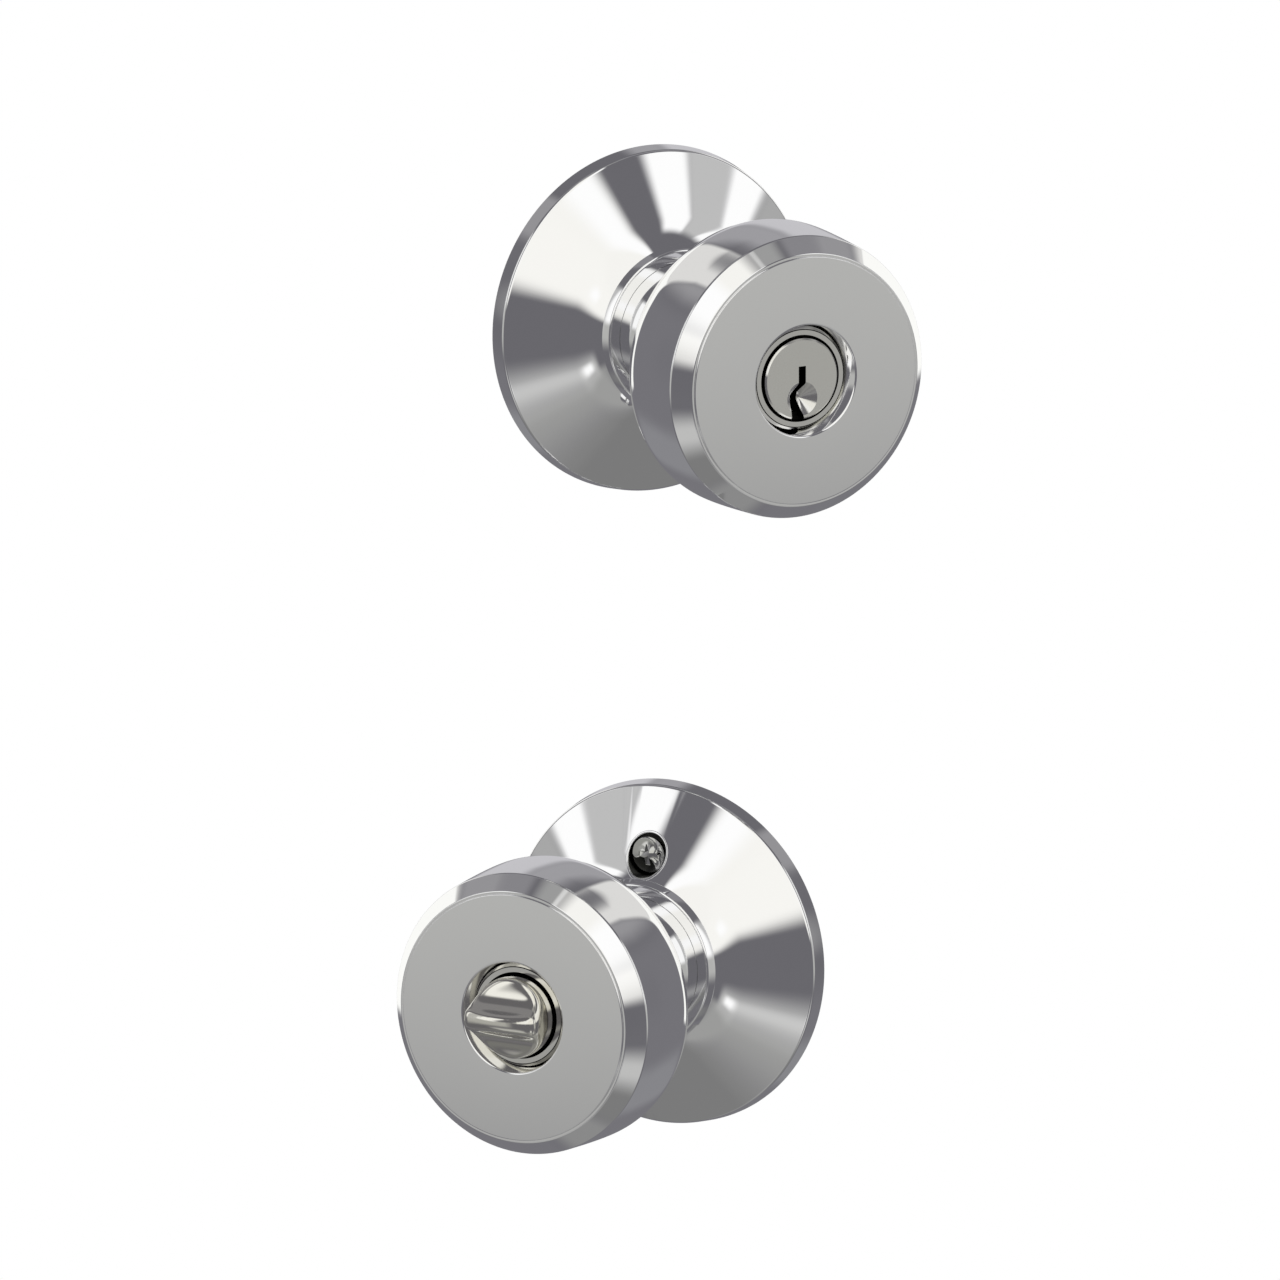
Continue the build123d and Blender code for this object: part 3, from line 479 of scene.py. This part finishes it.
# lapping marks, drawn 0.8 mm apart so that they show
lap = add_node(tree, "ShaderNodeTexNoise", inputs={"Scale": 1 / 0.0008}, links={"Vector": place})
lap_range = add_node(tree, "ShaderNodeMapRange", inputs={"To Min": 0.1, "To Max": 0.16},
                     links={"Value": lap.outputs["Fac"]})
tree.links.new(lap_range.outputs["Result"], shader.inputs["Roughness"])
dress(satin, "cylinder_plug")


# Pins and chamber cover
# Plain turned brass. The lathe marks are finer than 0.1 mm, and are drawn at 0.5 mm so that they
# show as a soft sheen.

brass, tree, shader, place = new_finish("turned_brass")
shader.inputs["Base Color"].default_value = paint("#D2AE62")
shader.inputs["Metallic"].default_value = 1.0
lathe = add_node(tree, "ShaderNodeTexNoise", inputs={"Scale": 1 / 0.0005}, links={"Vector": place})
lathe_range = add_node(tree, "ShaderNodeMapRange", inputs={"To Min": 0.2, "To Max": 0.34},
                       links={"Value": lathe.outputs["Fac"]})
tree.links.new(lathe_range.outputs["Result"], shader.inputs["Roughness"])
dress(brass, "bottom_pins", "driver_pins", "chamber_cover")


# Turn button
# Cast zinc with bright nickel plate, warmer than the chrome round it and a little softer.

warm_nickel, tree, shader, place = new_finish("bright_nickel_plate")
shader.inputs["Base Color"].default_value = paint("#E9E7DE")
shader.inputs["Metallic"].default_value = 1.0
# polishing haze over about 2 mm
haze = add_node(tree, "ShaderNodeTexNoise", inputs={"Scale": 1 / 0.002}, links={"Vector": place})
haze_range = add_node(tree, "ShaderNodeMapRange", inputs={"To Min": 0.06, "To Max": 0.12},
                      links={"Value": haze.outputs["Fac"]})
tree.links.new(haze_range.outputs["Result"], shader.inputs["Roughness"])
dress(warm_nickel, "turn_button")

# A domed plug is cast with a scoop above and below, which leaves a bar to hold. Tumbling before
# the plating rounds the bar to a full nose, so the casting is remeshed and smoothed. Smoothing
# draws it in a little, so it starts a little large.
BUTTON_RADIUS = 7.72
BUTTON_CREST = 66.6
BUTTON_DOME = 26.0
SCOOP_RADIUS = 0.0060
SCOOP_UP = 0.0074
SCOOP_OUT = 0.0676
SKIN_GRAIN = 0.00014
TUMBLES = 400
BUTTON_BACK = 50.0
dome = [(radius, BUTTON_CREST - BUTTON_DOME + sqrt(BUTTON_DOME ** 2 - radius ** 2), 0)
        for radius in (BUTTON_RADIUS, 6.5, 5.2, 3.9, 2.6, 1.3, 0)]
button = turn_on_lathe("turn_button_casting",
                       [(0, BUTTON_BACK, 0), (BUTTON_RADIUS, BUTTON_BACK, 0), *dome])
for up in (SCOOP_UP, -SCOOP_UP):
    cut_round(button, SCOOP_RADIUS, (0, -SCOOP_OUT, up), (0, radians(90), 0), sides=128)
skin = button.modifiers.new("skin", "REMESH")
skin.mode = "VOXEL"
skin.voxel_size = SKIN_GRAIN
skin.use_smooth_shade = True
bpy.ops.object.modifier_apply(modifier=skin.name)
tumbled = button.modifiers.new("tumbled", "SMOOTH")
tumbled.factor = 0.5
tumbled.iterations = TUMBLES
bpy.ops.object.modifier_apply(modifier=tumbled.name)
button.data.materials.clear()
button.data.materials.append(warm_nickel)
put_inside(button)
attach(button, "turn_button")
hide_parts("turn_button")


# Screws
# Steel machine screws with black-bright nickel plate, darker than the rose that they sit in.

screw_plate, tree, shader, place = new_finish("dark_nickel_plate")
shader.inputs["Base Color"].default_value = paint("#C8C8C4")
shader.inputs["Metallic"].default_value = 1.0
# plating haze over about 1 mm
haze = add_node(tree, "ShaderNodeTexNoise", inputs={"Scale": 1 / 0.001}, links={"Vector": place})
haze_range = add_node(tree, "ShaderNodeMapRange", inputs={"To Min": 0.02, "To Max": 0.05},
                      links={"Value": haze.outputs["Fac"]})
tree.links.new(haze_range.outputs["Result"], shader.inputs["Roughness"])
dress(screw_plate, "mounting_screws")


# Camera
# A long lens far off, at the photograph's angle, so that both halves are seen almost square.

VIEW_AZIMUTH = radians(-29.0)
VIEW_ELEVATION = radians(13.27)
AIM = Vector((-0.0077, -0.0114, -0.0580))
FRAME_WIDTH = 0.2361
CAMERA_AWAY = 8.0
camera_data = bpy.data.cameras.new("camera")
camera_data.sensor_width = 36.0
camera_data.lens = camera_data.sensor_width * CAMERA_AWAY / FRAME_WIDTH
camera = bpy.data.objects.new("camera", camera_data)
bpy.context.scene.collection.objects.link(camera)
to_camera = Vector((sin(VIEW_AZIMUTH) * cos(VIEW_ELEVATION),
                    -cos(VIEW_AZIMUTH) * cos(VIEW_ELEVATION), sin(VIEW_ELEVATION)))
camera.location = AIM + to_camera * CAMERA_AWAY
camera.rotation_euler = to_camera.to_track_quat("Z", "Y").to_euler()
bpy.context.scene.camera = camera


# Floor
# A plain pale floor well below the object, which takes its shadow. The chrome mirrors the studio
# and not the floor.

FLOOR_DROP = 0.3
FLOOR_RADIUS = 0.35
FLOOR_LIFT = 0.3
bpy.ops.object.select_all(action="DESELECT")
bpy.ops.mesh.primitive_circle_add(vertices=96, radius=FLOOR_RADIUS, fill_type="NGON",
                                  location=(AIM.x, AIM.y, cad_box[0][2] - FLOOR_DROP))
floor = bpy.context.object
floor.name = "floor"
bpy.ops.object.transform_apply(location=True)
floor.visible_glossy = False
pale, tree, shader, place = new_finish("pale_floor")
shader.inputs["Base Color"].default_value = paint("#F2F2F2")
shader.inputs["Roughness"].default_value = 0.9
# the camera sees it nearly as white as the studio behind it
shader.inputs["Emission Color"].default_value = paint("#FFFFFF")
rays = add_node(tree, "ShaderNodeLightPath")
lift = add_node(tree, "ShaderNodeMath", {"operation": "MULTIPLY"}, inputs={1: FLOOR_LIFT},
                links={0: rays.outputs["Is Camera Ray"]})
tree.links.new(lift.outputs[0], shader.inputs["Emission Strength"])
floor.data.materials.append(pale)


# Studio
# A white room with grey cards in it, the same on both sides of the camera. The camera sees the
# bare white room, and polished metal shows the cards. Dull surfaces get an even soft light.

bpy.context.scene.view_settings.view_transform = "Standard"
world = bpy.data.worlds.new("studio")
bpy.context.scene.world = world
world.use_nodes = True
tree = world.node_tree
tree.nodes.clear()
ray = add_node(tree, "ShaderNodeLightPath")
direction = add_node(tree, "ShaderNodeTexCoord").outputs["Generated"]


# where the ray goes: how far to either side of the camera, and how high
level = Vector((to_camera.x, to_camera.y, 0)).normalized()
across = Vector((-level.y, level.x, 0))
ahead = add_node(tree, "ShaderNodeVectorMath", {"operation": "DOT_PRODUCT"}, {1: level},
                 {0: direction})
aside = add_node(tree, "ShaderNodeVectorMath", {"operation": "DOT_PRODUCT"}, {1: across},
                 {0: direction})
bearing = add_node(tree, "ShaderNodeMath", {"operation": "ARCTAN2"},
                   links={0: aside.outputs["Value"], 1: ahead.outputs["Value"]})
side = add_node(tree, "ShaderNodeMath", {"operation": "ABSOLUTE"}, links={0: bearing.outputs[0]})
rise = add_node(tree, "ShaderNodeVectorMath", {"operation": "DOT_PRODUCT"}, {1: (0, 0, 1)},
                {0: direction})
height = add_node(tree, "ShaderNodeMath", {"operation": "ARCSINE"},
                  links={0: rise.outputs["Value"]})


def hang_card(under, grey, side_from, side_to, low, high, soft_side, soft_height):
    """A soft-edged card of one grey over what hangs there already, by angles in degrees."""
    spans = []
    for angle, start, end, soft in ((side, side_from, side_to, soft_side),
                                    (height, low, high, soft_height)):
        enter, leave = [add_node(tree, "ShaderNodeMapRange", {"interpolation_type": "SMOOTHSTEP"},
                                 {"From Min": radians(at - soft), "From Max": radians(at + soft)},
                                 {"Value": angle.outputs[0]}) for at in (start, end)]
        spans.append(add_node(tree, "ShaderNodeMath", {"operation": "SUBTRACT"},
                              links={0: enter.outputs["Result"], 1: leave.outputs["Result"]}))
    shape = add_node(tree, "ShaderNodeMath", {"operation": "MULTIPLY"},
                     links={0: spans[0].outputs[0], 1: spans[1].outputs[0]})
    mix = add_node(tree, "ShaderNodeMix", {"data_type": "RGBA"}, {7: paint(grey)},
                   {"Factor": shape.outputs[0], 6: under})
    return mix.outputs[2]


room = add_node(tree, "ShaderNodeRGB")
room.outputs[0].default_value = paint("#69686D")
light = room.outputs[0]
CARDS = [
    # grey, side from, to, low, high, soft side, soft height
    ("#747378", 110, 220, -75, 24, 6, 8),
    ("#86868A", 128, 155, -45, -26, 6, 5),
    ("#7B7B7B", 26, 100, -76, -47, 10, 6),
    ("#9C9C9B", -20, 26, -100, -36, 16, 4),
    ("#BDBDBC", 37, 66, -49, -29, 5, 8),
    ("#8A8A8A", -20, 220, -120, -76, 8, 5),
    ("#B2B2B0", 46, 93, -18, 8, 4, 8),
    ("#868589", 98, 150, 50, 80, 6, 5),
    ("#949396", 112, 131, 27, 52, 3, 4),
    ("#9B9B9B", 24, 96, 73, 120, 6, 3),
    ("#F6F5F1", -20, 37.6, 4.3, 75.5, 4, 4.4),
    ("#F8F7F3", -20, 41, 4.3, 25, 3, 4.4),
    ("#FFFFFF", 25.5, 37.6, 4.3, 75.5, 4, 4.4),
    ("#FFFFFF", -20, 5, 10, 17, 4, 3),
    ("#FFFFFF", 58.3, 75.8, 4, 41.5, 3, 4),
    ("#BDBDBD", 75.8, 89.3, -5, 41, 1.6, 5),
    ("#FFFFFF", 89.3, 98.2, -2, 40, 1.6, 5),
    ("#A8A8A8", 98.2, 104, -8, 28, 1.5, 6),
    ("#C2C1C5", 162, 220, -6, 22, 3, 5),
    ("#9D9CA0", 158, 220, 22, 34, 3, 3),
    ("#FBFBF8", 130.7, 160.3, -15.7, 26.3, 1, 1.2),
    ("#DBDAD8", 131, 157, 26, 37, 1.5, 1),
    ("#C4C4C3", -20, 12, -38, -26, 5, 7),
    ("#FFFFFF", -20, 5.5, -34.2, -28.8, 3.5, 2.2),
]
for hung in CARDS:
    light = hang_card(light, *hung)
studio = add_node(tree, "ShaderNodeBackground", inputs={"Strength": 1.05}, links={"Color": light})
even = add_node(tree, "ShaderNodeBackground", inputs={"Color": paint("#E4E4E4"), "Strength": 1.0})
white = add_node(tree, "ShaderNodeBackground", inputs={"Color": (1, 1, 1, 1), "Strength": 1.0})
mirrored = add_node(tree, "ShaderNodeMath", {"operation": "MAXIMUM"},
                    links={0: ray.outputs["Is Glossy Ray"], 1: ray.outputs["Is Transmission Ray"]})
lit = add_node(tree, "ShaderNodeMixShader",
               links={"Fac": mirrored.outputs[0], 1: even.outputs[0], 2: studio.outputs[0]})
seen = add_node(tree, "ShaderNodeMixShader",
                links={"Fac": ray.outputs["Is Camera Ray"],
                       1: lit.outputs[0], 2: white.outputs[0]})
sky = add_node(tree, "ShaderNodeOutputWorld")
tree.links.new(seen.outputs[0], sky.inputs["Surface"])
